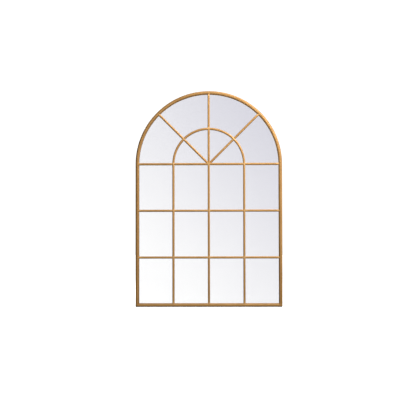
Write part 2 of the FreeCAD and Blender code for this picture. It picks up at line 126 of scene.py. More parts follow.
def bevelled_section(half, bevel, front, rear, crest_radius, arris_radius, rear_radius):
    """The section of a tube or bar as points (across, depth): a flat crest that rounds over into a 45
    degree bevel on each side, straight sides and a flat rear. The second array is 1 on the front arrises
    and 0 on the flats."""
    right = [(half - bevel, front), (half, front + bevel), (half, rear)]
    left = [(-across, depth) for across, depth in reversed(right)]
    radii = [crest_radius, arris_radius, rear_radius]
    ring = rounded_outline(right + left, radii + radii[::-1])
    arris_mask = np.outer([1, 1, 0, 0, 1, 1], np.sin(np.linspace(0, np.pi, arc_steps + 1))).ravel()
    side = len(ring) // 2
    section = np.vstack([[(0, front)], ring[:side], [(0, rear)], ring[side:]])
    return section, np.concatenate([[0], arris_mask[:side], [0], arris_mask[side:]])


def even_shares(lengths):
    """The shares of a length at which rings stand, from 0 to 1, no further apart than the ring spacing."""
    return np.linspace(0, 1, math.ceil(lengths.max() / ring_spacing) + 1)[:, None]


def arch_rings(section, line, foot):
    """Carries a section up the left leg, round the half circle and down the right leg: each point keeps its
    own distance from the arch's centre, and foot gives the height at which a leg ends at each point. Rings
    stand evenly on the legs and in the arch."""
    across, depth = section.T
    radius = line + across
    low = foot(across, depth)
    rise = low + even_shares(spring_height - low)[:-1] * (spring_height - low)
    beside = np.broadcast_to(radius, rise.shape)
    swing = np.linspace(np.pi, 0, arch_steps)[:, None]
    x = np.vstack([-beside, np.cos(swing) * radius, beside])
    z = np.vstack([rise, spring_height + np.sin(swing) * radius, rise[::-1]])
    return np.stack([x, np.broadcast_to(depth, x.shape), z], axis=-1)


def straight_rings(section, origin, heading, start, end):
    """Carries a section along a straight line through an origin in the plane of the mirror: start and end
    give the distances along the line at which each point of the section begins and stops."""
    across, depth = section.T
    first, last = start(across, depth), end(across, depth)
    along = first + even_shares(last - first) * (last - first)
    x = origin[0] + along * math.cos(heading) - across * math.sin(heading)
    z = origin[1] + along * math.sin(heading) + across * math.cos(heading)
    return np.stack([x, np.broadcast_to(depth, x.shape), z], axis=-1)


def skin(name, grids, material, wrap=False, **layers):
    """A mesh over grids of rings: four-sided faces join each ring to the next one, and unless the rings
    wrap round, a fan to the middle of the first and of the last ring closes the ends. Faces turn outwards
    by the sign of the volume that they enclose. Layers are values for the points of the rings, or work them
    out from the rings; a middle takes the mean of its ring."""
    points, faces, values = [], [], {layer: [] for layer in layers}
    count = 0
    for rings in grids:
        rows, size = rings.shape[:2]
        index = np.arange(rows * size).reshape(rows, size)
        near = index if wrap else index[:-1]
        far = np.roll(index, -1, axis=0) if wrap else index[1:]
        quads = np.stack([near, np.roll(near, -1, 1), np.roll(far, -1, 1), far], -1).reshape(-1, 4)
        flat = rings.reshape(-1, 3)
        corners = [quads[:, [0, 1, 2]], quads[:, [0, 2, 3]]]
        fans = []
        if not wrap:
            middles = rings[[0, -1]].mean(1)
            flat = np.vstack([flat, middles])
            rim = np.stack([index[0], np.roll(index[0], -1)], -1)[:, ::-1]
            fans.append(np.column_stack([rim, np.full(size, rows * size)]))
            rim = np.stack([index[-1], np.roll(index[-1], -1)], -1)
            fans.append(np.column_stack([rim, np.full(size, rows * size + 1)]))
        a, b, c = (flat[np.vstack(corners + fans)[:, k]] for k in range(3))
        turned = (a * np.cross(b, c)).sum() < 0
        for group in [quads] + fans:
            faces += ((group[:, ::-1] if turned else group) + count).tolist()
        for layer, value in layers.items():
            table = np.broadcast_to(value(rings) if callable(value) else value, (rows, size))
            ends = [] if wrap else table[[0, -1]].mean(1)
            values[layer].append(np.concatenate([table.ravel(), ends]))
        points.append(flat)
        count += len(flat)
    mesh = bpy.data.meshes.new(name)
    mesh.from_pydata(np.vstack(points).tolist(), [], faces)
    for layer, parts in values.items():
        attribute = mesh.attributes.new(layer, "FLOAT", "POINT")
        attribute.data.foreach_set("value", np.concatenate(parts).astype(np.float32))
    mesh.shade_smooth()
    mesh.set_sharp_from_angle(angle=sharp_fold)
    mesh.materials.append(material)
    piece = bpy.data.objects.new(name, mesh)
    bpy.context.scene.collection.objects.link(piece)
    even = piece.modifiers.new("even_faces", "WEIGHTED_NORMAL")
    even.keep_sharp = True
    return piece


def seat(piece, body, slot, *nodes):
    """A finished piece moves with a body and stands for CAD nodes, which are hidden. The slot is not used.
    """
    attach(piece, body)
    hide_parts(*nodes)


class Shade:
    """A socket in a node tree: Python's operators on it add Math nodes, and make adds any other node."""

    def __init__(self, tree, socket=None):
        self.tree = tree
        self.socket = socket

    def make(self, kind, settings, inputs, output=0):
        """A node with its settings set first and then its inputs, given as values or as other sockets."""
        node = self.tree.nodes.new("ShaderNode" + kind)
        for name, value in settings.items():
            if name == "stops":
                self.set_stops(node.color_ramp, value)
            else:
                setattr(node, name, value)
        for name, value in inputs.items():
            if isinstance(value, Shade):
                self.tree.links.new(value.socket, node.inputs[name])
            else:
                node.inputs[name].default_value = value
        return Shade(self.tree, node.outputs[output] if node.outputs else None)

    @staticmethod
    def set_stops(ramp, stops):
        """Gives a colour ramp its stops, as pairs of a position and a colour, in order."""
        ramp.elements[0].position = stops[0][0]
        ramp.elements[1].position = stops[-1][0]
        for position, _ in stops[1:-1]:
            ramp.elements.new(position)
        for element, (_, colour) in zip(ramp.elements, stops):
            element.color = (*colour, 1)

    def maths(self, operation, first, second):
        return self.make("Math", {"operation": operation}, {0: first, 1: second})

    def __add__(self, other):
        return self.maths("ADD", self, other)

    __radd__ = __add__

    def __sub__(self, other):
        return self.maths("SUBTRACT", self, other)

    def __rsub__(self, other):
        return self.maths("SUBTRACT", other, self)

    def __mul__(self, other):
        return self.maths("MULTIPLY", self, other)

    __rmul__ = __mul__

    def ramp(self, *stops):
        """A colour that follows this socket through the stops of a ramp."""
        return self.make("ValToRGB", {"stops": stops}, {"Fac": self})

    def blend(self, first, second, mode="MIX"):
        """A colour between two colours, by this socket."""
        settings = {"data_type": "RGBA", "blend_type": mode}
        return self.make("Mix", settings, {0: self, 6: first, 7: second}, output=2)


def surface(name, build):
    """A material whose Principled shader takes the inputs that build returns, fixed and varying ones."""
    material = bpy.data.materials.new(name)
    material.use_nodes = True
    material.node_tree.nodes.clear()
    paint = Shade(material.node_tree)
    shader = paint.make("BsdfPrincipled", {}, build(paint))
    paint.make("OutputMaterial", {}, {"Surface": shader})
    return material


def noise(place, scale, detail=2.0, roughness=0.5, swirl=0.0):
    """A soft random value about a half, with a feature size of one over the scale in metres; swirl draws
    the features out into curls."""
    inputs = {"Vector": place, "Scale": scale, "Detail": detail, "Roughness": roughness}
    return place.make("TexNoise", {}, {**inputs, "Distortion": swirl})


def gold_paint(paint, lit_share):
    """Satin antique gold: broad clouds of tone, a fine metal fleck, brighter gold over the welds as a
    painted highlight, paint rubbed thin along the arrises with a painted highlight there, and the soft
    orange peel of a sprayed coat. The lit share makes the whole coat darker or lighter, as painted shade and
    painted light."""

    def mixed(colour):
        return tuple(part * lit_share for part in colour)

    place = paint.make("TexCoord", {}, {}, output="Object")
    clouds = noise(place, cloud_scale, 4.0)
    fleck = place.make("TexVoronoi", {}, {"Vector": place, "Scale": fleck_scale}, output="Color")
    fleck = fleck.make("SeparateColor", {}, {"Color": fleck})
    peel = noise(place, peel_scale, 1.5)
    wear_and_sheen = paint.make("Attribute", {"attribute_name": "arris"}, {}, output="Fac")
    tone = clouds.ramp((0.3, mixed(deep_gold)), (0.7, mixed(light_gold)))
    tone = (fleck * fleck_share).blend(tone, (*mixed(fleck_gold), 1))
    # Painted highlight: brighter gold over each weld, fading away from it.
    touched = paint.make("Attribute", {"attribute_name": "touched"}, {}, output="Fac")
    tone = (touched * weld_highlight_share).blend(tone, weld_highlight_gold)
    # Worn paint and a painted highlight: lighter gold along the arrises.
    tone = (wear_and_sheen * clouds * wear_and_sheen_share).blend(tone, wear_and_sheen_gold)
    bump = paint.make("Bump", {}, {"Strength": 0.12, "Distance": peel_depth, "Height": peel})
    return {
        "Base Color": tone,
        "Metallic": 0.6,
        "Specular IOR Level": 0.6,
        "Roughness": 0.3 + clouds * 0.1 - wear_and_sheen * 0.05,
        "Normal": bump,
    }


tube_gold = surface("antique_gold_tube_paint_shaded", lambda paint: gold_paint(paint, tube_shade_tone))
tube_section, tube_arris_mask = bevelled_section(
    tube_half, tube_bevel, tube_front, tube_rear, tube_crest_radius, tube_arris_radius, tube_rear_radius
)
arch_tube = skin(
    "frame_arch_tube",
    [arch_rings(tube_section, tube_line, lambda across, depth: tube_half - across)],
    tube_gold,
    arris=tube_arris_mask,
)
seat(arch_tube, "mirror", "gold_frame", "frame_arch")
rail_tube = skin(
    "frame_rail_tube",
    [straight_rings(
        tube_section, (0, tube_half), 0,
        lambda across, depth: across - tube_line + mitre_seam,
        lambda across, depth: tube_line - across - mitre_seam,
    )],
    tube_gold,
    arris=tube_arris_mask,
)
seat(rail_tube, "mirror", "gold_frame", "frame_bottom_rail")

# The glazing bars: bevelled steel bars in front of the glass, painted with the frame's gold, a shade lighter
# as painted light.
# One bar is bent into both side uprights and the small arch; the middle upright, the rows and the fan bars
# are cut between their neighbours, and each end is scribed to the bevel that it is welded to.

bar_bevel = 3.5 * MM
bar_crest_radius = 4.0 * MM
bar_arris_radius = 0.9 * MM
bar_rear_radius = 0.5 * MM
scribe_gap = 0.02 * MM
fan_angle = math.radians(45)

bar_half = (row_high.z - row_low.z) / 2
bar_rear = row_high.y
small_low, small_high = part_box("inner_arch_rod")
upright_line = small_high.x - bar_half
arch_crest = small_low.y
center_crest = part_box("center_rod_lower")[0].y
row_crest = row_low.y
rows = ["spring_bar", "upper_row_bar", "lower_row_bar"]
row_heights = [sum(corner.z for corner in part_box(f"{row}_1")) / 2 for row in rows]
column_lines = [-tube_line, -upright_line, 0, upright_line, tube_line]

# The bars' coat is a lighter copy of the gold: painted light for the light that falls on the bars.
bar_light_tone = 1.06
weld_highlight_reach = 13 * MM
weld_highlight_fade = 8 * MM
inside_edge = tube_line - tube_half
fan_turns = [fan_angle, math.radians(90), math.radians(180) - fan_angle]
row_welds = [(x, z) for z in row_heights for x in (-inside_edge, *column_lines[1:-1], inside_edge)]
foot_welds = [(x, 2 * tube_half) for x in column_lines[1:-1]]
fan_welds = [
    (radius * math.cos(turn), spring_height + radius * math.sin(turn))
    for radius in (upright_line, inside_edge)
    for turn in fan_turns
]
welds = np.array(row_welds + foot_welds + fan_welds)


def weld_highlight_mask(rings):
    """How strong the painted highlight of brighter gold is at the nearest weld: all of it near the weld,
    less with the distance from it in the plane of the mirror, and none past the reach."""
    distance = np.linalg.norm(rings[:, :, None, [0, 2]] - welds, axis=-1).min(-1)
    return np.clip((weld_highlight_reach - distance) / weld_highlight_fade, 0, 1)


def bar_section(crest):
    radii = bar_crest_radius, bar_arris_radius, bar_rear_radius
    return bevelled_section(bar_half, bar_bevel, crest, bar_rear, *radii)


def side_reach(depth, crest, half, bevel):
    """How far a bevelled neighbour reaches to its side at a depth: half its width behind the bevel's foot,
    and less by as much as the point stands in front of that foot."""
    return half - np.maximum(crest + bevel - depth, 0) + scribe_gap


def tube_reach(depth):
    return side_reach(depth, tube_front, tube_half, tube_bevel)


def bar_reach(depth, crest):
    return side_reach(depth, crest, bar_half, bar_bevel)


def on_circle(radius, across):
    """The distance along a line through a circle's centre at which points beside it meet the circle."""
    return np.sqrt(radius ** 2 - across ** 2)


def small_arch_inside(across, depth):
    return on_circle(upright_line - bar_reach(depth, arch_crest), across)


def small_arch_outside(across, depth):
    return on_circle(upright_line + bar_reach(depth, arch_crest), across)


def frame_arch_inside(across, depth):
    return on_circle(tube_line - tube_reach(depth), across)


def rail_top(across, depth):
    return tube_half + tube_reach(depth)


gold = surface("antique_gold_bar_paint_lit", lambda paint: gold_paint(paint, bar_light_tone))
section, arris_mask = bar_section(arch_crest)
small_arch = skin(
    "small_arch_bar", [arch_rings(section, upright_line, rail_top)], gold, arris=arris_mask, touched=weld_highlight_mask
)
seat(small_arch, "mirror", "gold_frame", "inner_arch_rod")


def straight_bar(node, origin, heading, start, end):
    """One straight bar in place of a CAD node, with the node's own crest height."""
    section, arris_mask = bar_section(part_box(node)[0].y)
    rings = straight_rings(section, origin, heading, start, end)
    bar = skin(f"{node}_bar", [rings], gold, arris=arris_mask, touched=weld_highlight_mask)
    seat(bar, "mirror", "gold_frame", node)


upward = math.radians(90)
fan_centre = (0, spring_height)
straight_bar(
    "center_rod_lower", fan_centre, upward,
    lambda across, depth: rail_top(across, depth) - spring_height,
    small_arch_inside,
)
straight_bar("center_rod_upper", fan_centre, upward, small_arch_outside, frame_arch_inside)
for side, way in (("left", -1), ("right", 1)):
    heading = upward - fan_angle * way

    def hub(across, depth):
        """The corner between the middle upright and the spring row, which the fan bar's end fits into."""
        upright = bar_reach(depth, center_crest) / math.sin(fan_angle) + across * way
        row = bar_reach(depth, row_crest) / math.cos(fan_angle) - across * way
        return np.maximum(upright, row)

    straight_bar(f"radial_bar_{side}_lower", fan_centre, heading, hub, small_arch_inside)
    straight_bar(f"radial_bar_{side}_upper", fan_centre, heading, small_arch_outside, frame_arch_inside)

column_reaches = [
    tube_reach,
    lambda depth: bar_reach(depth, arch_crest),
    lambda depth: bar_reach(depth, center_crest),
    lambda depth: bar_reach(depth, arch_crest),
    tube_reach,
]
for row, row_height in zip(rows, row_heights):
    for column in range(4):
        near, far = column_lines[column:column + 2]
        near_reach, far_reach = column_reaches[column:column + 2]
        straight_bar(
            f"{row}_{column + 1}", (0, row_height), 0,
            lambda across, depth: near + near_reach(depth),
            lambda across, depth: far - far_reach(depth),
        )

# The mirror: one arched sheet of float glass with polished edges, and the silver coat with its paint on the
# rear face. It lies in the frame behind the bars and is stuck to the backing board, and a thin dark bead of
# painted shade fills the gap round its rear edge.

glass_ease = 0.5 * MM
silver_thickness = 0.06 * MM
silver_gap = 0.02 * MM
edge_steps = 3
flat_band_share = 2.5
shade_bead_depth = 1.2 * MM
shade_bead_gap = 0.02 * MM
shade_bead_corner = 0.4 * MM
glass_corner = 2 * MM
wave_scale = 5
wave_depth = 0.01 * MM
dull_silver = (0.945, 0.95, 0.955)
bright_silver = (0.955, 0.96, 0.962)
backing_grey = (0.11, 0.12, 0.125, 1)


def arched_outline(half, foot, corner_radius=glass_corner):
    """The outline of an arched sheet as points (across, up): a foot with two small round corners, straight
    sides to the spring line, and a half circle."""
    swing = np.linspace(0, np.pi, arch_steps)
    arch = np.column_stack([half * np.cos(swing), spring_height + half * np.sin(swing)])
    bend = np.linspace(np.pi, np.pi * 3 / 2, arc_steps + 1)
    corner = corner_radius * np.column_stack([np.cos(bend), np.sin(bend)])
    left = corner + (corner_radius - half, foot + corner_radius)
    return np.vstack([arch, left, (left * (-1, 1))[::-1]])


def plate_rings(outline, front, rear, ease):
    """The edge of a plate as rings: the outline drawn in on both faces, and round arrises between a face
    and the edge, where a point of the arris swings a quarter turn. One more ring on each face keeps the
    face flat."""
    ahead = np.roll(outline, -1, axis=0) - np.roll(outline, 1, axis=0)
    outward = np.column_stack([ahead[:, 1], -ahead[:, 0]])
    outward /= np.linalg.norm(outward, axis=1, keepdims=True)
    swing = np.linspace(0, np.pi / 2, edge_steps + 1)
    drawn_in = ease * np.append(flat_band_share, 1 - np.sin(swing))
    sunk = ease * np.append(0, 1 - np.cos(swing))
    drawn_in = np.concatenate([drawn_in, drawn_in[::-1]])
    depth = np.concatenate([front + sunk, rear - sunk[::-1]])
    flat = outline[None] - outward[None] * drawn_in[:, None, None]
    return np.stack([flat[..., 0], np.broadcast_to(depth[:, None], flat.shape[:2]), flat[..., 1]], axis=-1)


def clear_glass(paint):
    """Clear float glass, almost without colour, and a trace of waviness from the float bath."""
    place = paint.make("TexCoord", {}, {}, output="Object")
    wave = noise(place, wave_scale, 1.0)
    bump = paint.make("Bump", {}, {"Strength": 0.02, "Distance": wave_depth, "Height": wave})
    tint = noise(place, 2, 1.0).ramp((0.3, (0.985, 0.983, 0.981)), (0.7, (0.99, 0.988, 0.985)))
    return {
        "Base Color": tint,
        "Roughness": 0.0,
        "IOR": 1.52,
        "Transmission Weight": 1.0,
        "Normal": bump,
    }


def silver_coat(paint):
    """The silver behind the glass: bright metal, a little greyer in broad soft patches, with grey backing
    paint over its rear."""
    place = paint.make("TexCoord", {}, {}, output="Object")
    painted = paint.make("Attribute", {"attribute_name": "painted"}, {}, output="Fac")
    tone = noise(place, 3, 2.0).ramp((0.3, dull_silver), (0.7, bright_silver))
    tone = painted.blend(tone, backing_grey)
    return {"Base Color": tone, "Metallic": 1 - painted, "Roughness": painted * 0.5}


glass_low, glass_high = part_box("mirror_glass")
glass_outline = arched_outline(glass_high.x, glass_low.z)
glass_rear = glass_high.y - silver_thickness - silver_gap
pane = skin(
    "glass_pane",
    [plate_rings(glass_outline, glass_low.y, glass_rear, glass_ease)],
    surface("float_glass", clear_glass),
)
seat(pane, "mirror", "mirror", "mirror_glass")
silver_front = glass_high.y - silver_thickness
silver_rings = plate_rings(glass_outline, silver_front, glass_high.y, silver_thickness / 3)
painted_rows = np.arange(len(silver_rings)) >= len(silver_rings) // 2
silver = skin(
    "silver_coat", [silver_rings], surface("silver_coat", silver_coat), painted=painted_rows[:, None]
)
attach(silver, "mirror")


def gap_shade_paint(paint):
    """Painted shade: a dark grey bead in the gap round the glass, with a faint mottle."""
    place = paint.make("TexCoord", {}, {}, output="Object")
    mottle = noise(place, 220, 3.0)
    tone = mottle.ramp((0.3, (0.055, 0.054, 0.052)), (0.7, (0.09, 0.088, 0.085)))
    return {"Base Color": tone, "Roughness": 0.55 + mottle * 0.2}


# A dark bead of painted shade fills the slit between the glass and the tube.
shade_bead_inside = arched_outline(glass_high.x + shade_bead_gap, glass_low.z - shade_bead_gap)
shade_bead_outside = arched_outline(inside_edge - shade_bead_gap, 2 * tube_half + shade_bead_gap, shade_bead_corner)
shade_bead_front = glass_high.y - shade_bead_depth
shade_bead_rings = np.stack([
    np.column_stack([outline[:, 0], np.full(len(outline), depth), outline[:, 1]])
    for outline, depth in (
        (shade_bead_inside, shade_bead_front), (shade_bead_outside, shade_bead_front),
        (shade_bead_outside, glass_high.y), (shade_bead_inside, glass_high.y),
    )
])
gap_shade_bead = skin("glass_edge_shade_bead", [shade_bead_rings], surface("gap_shade_paint", gap_shade_paint), wrap=True)
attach(gap_shade_bead, "mirror")

# The mounting tape: upright strips of white closed-cell foam, sticky on both faces, between the glass and
# the board. They are cut from a roll and pressed flat.


def foam(paint):
    """White foam: fine closed cells, with a little grey in the cut ones."""
    place = paint.make("TexCoord", {}, {}, output="Object")
    cells = place.make("TexVoronoi", {}, {"Vector": place, "Scale": 2200})
    tone = cells.ramp((0.0, (0.66, 0.66, 0.63)), (0.6, (0.86, 0.86, 0.83)))
    bump = paint.make("Bump", {}, {"Strength": 0.4, "Distance": 0.2 * MM, "Height": cells})
    return {"Base Color": tone, "Roughness": 0.85, "Normal": bump}


frame["nodes"]["mounting_tape"].data.materials[0] = surface("foam_tape", foam)

# The backing board: raw medium-density fibreboard, sawn to the arch and eased at its edges, let into the
# frame behind the glass.

board_ease = 0.6 * MM
board_cloud_scale = 9
fibre_scale = 620
fibre_share = 0.75
speck_scale = 900
dark_fibre = (0.27, 0.17, 0.095)
brown_fibre = (0.42, 0.28, 0.165)
pale_fibre = (0.56, 0.40, 0.25)
speck_brown = (0.16, 0.09, 0.045, 1)
sawn_brown = (0.20, 0.115, 0.06, 1)


def fibreboard(paint):
    """Pressed wood fibre: warm brown with pale and dark fibres, lightly clouded, and darker at the sawn
    edge."""
    place = paint.make("TexCoord", {}, {}, output="Object")
    clouds = noise(place, board_cloud_scale, 3.0)
    fibres = noise(place, fibre_scale, 4.0, 0.7, swirl=2.5)
    specks = place.make("TexVoronoi", {}, {"Vector": place, "Scale": speck_scale})
    edge = paint.make("Attribute", {"attribute_name": "sawn"}, {}, output="Fac")
    mixture = fibres * fibre_share + clouds * (1 - fibre_share)
    tone = mixture.ramp((0.32, dark_fibre), (0.5, brown_fibre), (0.68, pale_fibre))
    dark = specks.ramp((0.04, (1, 1, 1)), (0.12, (0, 0, 0)))
    tone = (dark * 0.45).blend(tone, speck_brown)
    tone = (edge * 0.5).blend(tone, sawn_brown)
    bump = paint.make("Bump", {}, {"Strength": 0.12, "Distance": 0.05 * MM, "Height": fibres})
    return {"Base Color": tone, "Roughness": 0.62 + fibres * 0.25, "Normal": bump}


board_low, board_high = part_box("backing_board")
board_rings = plate_rings(arched_outline(board_high.x, board_low.z), board_low.y, board_high.y, board_ease)
sawn_rows = np.zeros(len(board_rings))
sawn_rows[1:-1] = 1
board = skin("fibre_board", [board_rings], surface("fibreboard", fibreboard), sawn=sawn_rows[:, None])
seat(board, "mirror", "fibreboard", "backing_board")

# The turn buttons: nine stamped steel tabs with clipped corners, zinc plated. Each one swivels on its screw
# on the flat back of the frame and laps over the edge of the board.

tab_clip = 3.5 * MM
tab_corner_radius = 0.8 * MM
tab_ease = 0.3 * MM
tab_hole_radius = 2.05 * MM
film_scale = 160
spangle_scale = 420
scratch_scale = (900, 900, 60)
dull_zinc = (0.50, 0.52, 0.56)
clean_zinc = (0.70, 0.71, 0.73)
spangle_grey = (0.78, 0.79, 0.82, 1)
tab_names = [body for body in frame["bodies"] if body.startswith("turn_button")]
pivots = {joint["child"]: joint["pos_m"] for joint in frame["joints"]}


def zinc_plate(paint):
    """Bright zinc on steel: a bluish grey metal with soft spangle, faint upright scratches from handling
    and a dull film in patches."""
    place = paint.make("TexCoord", {}, {}, output="Object")
    film = noise(place, film_scale, 4.0)
    spangle = place.make("TexVoronoi", {}, {"Vector": place, "Scale": spangle_scale}, output="Color")
    spangle = spangle.make("SeparateColor", {}, {"Color": spangle})
    drawn = place.make("Mapping", {}, {"Vector": place, "Scale": scratch_scale})
    lines = noise(drawn, 1, 2.0)
    tone = film.ramp((0.3, dull_zinc), (0.7, clean_zinc))
    tone = (spangle * 0.25).blend(tone, spangle_grey)
    bump = paint.make("Bump", {}, {"Strength": 0.15, "Distance": 0.03 * MM, "Height": lines})
    rough = 0.24 + film * 0.2 + lines * 0.06
    return {"Base Color": tone, "Metallic": 1.0, "Roughness": rough, "Normal": bump}


zinc = surface("zinc_plate", zinc_plate)
tab_low, tab_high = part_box("turn_button_left_low")
tab_half = (tab_high.z - tab_low.z) / 2
tab_reach = tab_high.x - tab_low.x - tab_half
far_end = [(tab_reach - tab_clip, -tab_half), (tab_reach, tab_clip - tab_half)]
near_end = [(tab_clip - tab_half, tab_half), (-tab_half, tab_half - tab_clip)]


def mirrored(corners):
    """The same corners on the other side of the tab's middle line, in the order of the outline."""
    return [(along, -across) for along, across in reversed(corners)]


tab_corners = far_end + mirrored(far_end) + near_end + mirrored(near_end)
tab_outline = rounded_outline(tab_corners, [tab_corner_radius] * len(tab_corners))
for name in tab_names:
    low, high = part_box(name)
    pivot = pivots[name]
    middle = (low + high) / 2
    heading = math.atan2(middle.z - pivot[2], middle.x - pivot[0])
    rings = plate_rings(tab_outline, low.y, high.y, tab_ease)
    hole = tab_hole_radius * rings[0] / np.linalg.norm(rings[0][:, [0, 2]], axis=1, keepdims=True)
    rims = np.stack([hole, hole])
    rims[0, :, 1] = high.y
    rims[1, :, 1] = low.y
    rings = np.concatenate([rings, rims])
    turned = np.array(rings)
    turned[..., 0] = pivot[0] + rings[..., 0] * math.cos(heading) - rings[..., 2] * math.sin(heading)
    turned[..., 2] = pivot[2] + rings[..., 0] * math.sin(heading) + rings[..., 2] * math.cos(heading)
    tab = skin(f"{name}_tab", [turned], zinc, wrap=True)
    seat(tab, name, "zinc_steel", name)

# The screws: zinc-plated hexagon heads with a cross recess and a rolled thread. Nine hold the turn buttons
# to the frame's back wall, and two hold each hanger strap to the board.

screw_flats = 7 * MM
screw_head_height = 2.8 * MM
screw_radius = 2 * MM
screw_core_radius = 1.45 * MM
screw_pitch = 1.4 * MM
screw_crown_radius = 3.2 * MM
screw_crown_slope = math.tan(math.radians(30))
screw_points = 48
thread_rows_per_pitch = 8
recess_half_width = 0.55 * MM
recess_half_length = 2.0 * MM
recess_depth = 1.3 * MM
recess_taper = 0.6
thread_lead_pitches = 2
thread_sharpness = 2.6
screw_tip_share = 0.55
bearing_share = 0.97
head_chamfer = 0.2 * MM
smallest_share = 1e-6


def screw_rings(place, driven_face, head_face, tip):
    """A screw along +Y as rings from its tip to the bottom of its recess. The thread's radius rises and
    falls once a pitch and runs on with the turn; the head is a hexagon, whose corners a cone cuts back to
    the round crown; the recess is the outline of two crossed slots, which narrows as it goes down."""
    turn = np.arange(screw_points) * 2 * np.pi / screw_points
    rows = int((driven_face - tip) / screw_pitch * thread_rows_per_pitch)
    along = np.linspace(tip, driven_face, rows)[:, None]
    wind = ((along - tip) / screw_pitch - turn / (2 * np.pi)) % 1
    lead = np.clip((along - tip) / (thread_lead_pitches * screw_pitch), 0, 1)
    crest = screw_core_radius + (screw_radius - screw_core_radius) * lead
    thread = screw_core_radius * (screw_tip_share + (1 - screw_tip_share) * lead)
    ridge = np.maximum(1 - thread_sharpness * np.abs(wind - 0.5), 0)
    thread = thread + (crest - screw_core_radius) * ridge
    hexagon = screw_flats / 2 / np.cos(turn % (np.pi / 3) - np.pi / 6)
    cosine = np.maximum(np.abs(np.cos(turn)), smallest_share)
    sine = np.maximum(np.abs(np.sin(turn)), smallest_share)
    slot_one = np.minimum(recess_half_length / cosine, recess_half_width / sine)
    slot_two = np.minimum(recess_half_width / cosine, recess_half_length / sine)
    cross = np.maximum(slot_one, slot_two)
    top = head_face + screw_head_height
    shoulder = top - (hexagon - screw_crown_radius) * screw_crown_slope
    bearing = np.full(screw_points, screw_flats / 2 * bearing_share)
    flat = np.ones(screw_points)
    radius = [flat * screw_radius, flat * screw_radius, bearing, hexagon, hexagon]
    radius += [flat * screw_crown_radius, cross, cross * recess_taper]
    height = [flat * driven_face, flat * head_face, flat * head_face]
    height += [flat * (head_face + head_chamfer), shoulder]
    height += [flat * top, flat * top, flat * (top - recess_depth)]
    radius = np.vstack([thread, *radius])
    height = np.vstack([np.broadcast_to(along, thread.shape), *height])
    return np.stack([place[0] + radius * np.cos(turn), height, place[1] + radius * np.sin(turn)], axis=-1)


group_low, group_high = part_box("turn_button_screws")
head_face = group_high.y - screw_head_height
tab_screw_grids = [
    screw_rings((pivots[name][0], pivots[name][2]), tube_rear, head_face, group_low.y)
    for name in tab_names
]
tab_screws = skin("turn_button_hex_screws", tab_screw_grids, zinc)
seat(tab_screws, "mirror", "zinc_steel", "turn_button_screws")

strap_screw_spacing = 14 * MM
group_low, group_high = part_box("hanger_screws")
head_face = group_high.y - screw_head_height
screw_heights = [group_low.z + screw_flats / 2, group_low.z + screw_flats / 2 + strap_screw_spacing]
strap_screw_grids = [
    screw_rings((pivots[f"hanger_ring_{side}"][0], up), board_high.y, head_face, group_low.y)
    for side in ("left", "right")
    for up in screw_heights
]
strap_screws = skin("hanger_hex_screws", strap_screw_grids, zinc)
seat(strap_screws, "mirror", "zinc_steel", "hanger_screws")

# The hangers: on each side a steel strap, screwed to the board and rolled at its top round the straight
# side of a D-ring. The ring is one bent bar, round in the roll and square with soft corners round the bow.

strap_thickness = 1.2 * MM
strap_foot_radius = 3 * MM
strap_ease = 0.3 * MM
roll_end = math.radians(-113)
roll_steps = 40
foot_steps = 8
ring_bar_radius = 1.5 * MM
ring_corner = 3 * MM
ring_drop = 6 * MM
ring_points = 24
bow_steps = 60
corner_steps = 10
ring_rest = math.radians(1.5)
bow_squareness = 2.5


def strap_rings(middle, half, foot, roll_centre, roll_radius):
    """A flat strap carried up the board and round the roll: stations on the straight part and then along the
    roll's circle; the section is a thin rectangle with soft edges, and is narrower near the round foot."""
    rise = strap_foot_radius * (1 - np.cos(np.linspace(0, np.pi / 2, foot_steps)))
    narrow = strap_foot_radius - np.sqrt(rise * (2 * strap_foot_radius - rise))
    swing = np.linspace(math.pi, roll_end, roll_steps)
    line_y = np.full(foot_steps, roll_centre[0] - roll_radius)
    y = np.concatenate([line_y, roll_centre[0] + roll_radius * np.cos(swing)])
    z = np.concatenate([foot + rise, roll_centre[1] + roll_radius * np.sin(swing)])
    out_y = np.concatenate([np.full(foot_steps, -1.0), np.cos(swing)])[:, None]
    out_z = np.concatenate([np.zeros(foot_steps), np.sin(swing)])[:, None]
    width = np.concatenate([half - narrow, np.full(roll_steps, half)])[:, None]
    thick = strap_thickness / 2
    corners = [(1, -thick), (1, thick), (-1, thick), (-1, -thick)]
    ring = rounded_outline([(a * half, b) for a, b in corners], [strap_ease] * 4)
    across, off = ring.T
    x = middle + np.sign(across) * (width - (half - np.abs(across)))
    return np.stack([x, y[:, None] + out_y * off, z[:, None] + out_z * off], axis=-1)


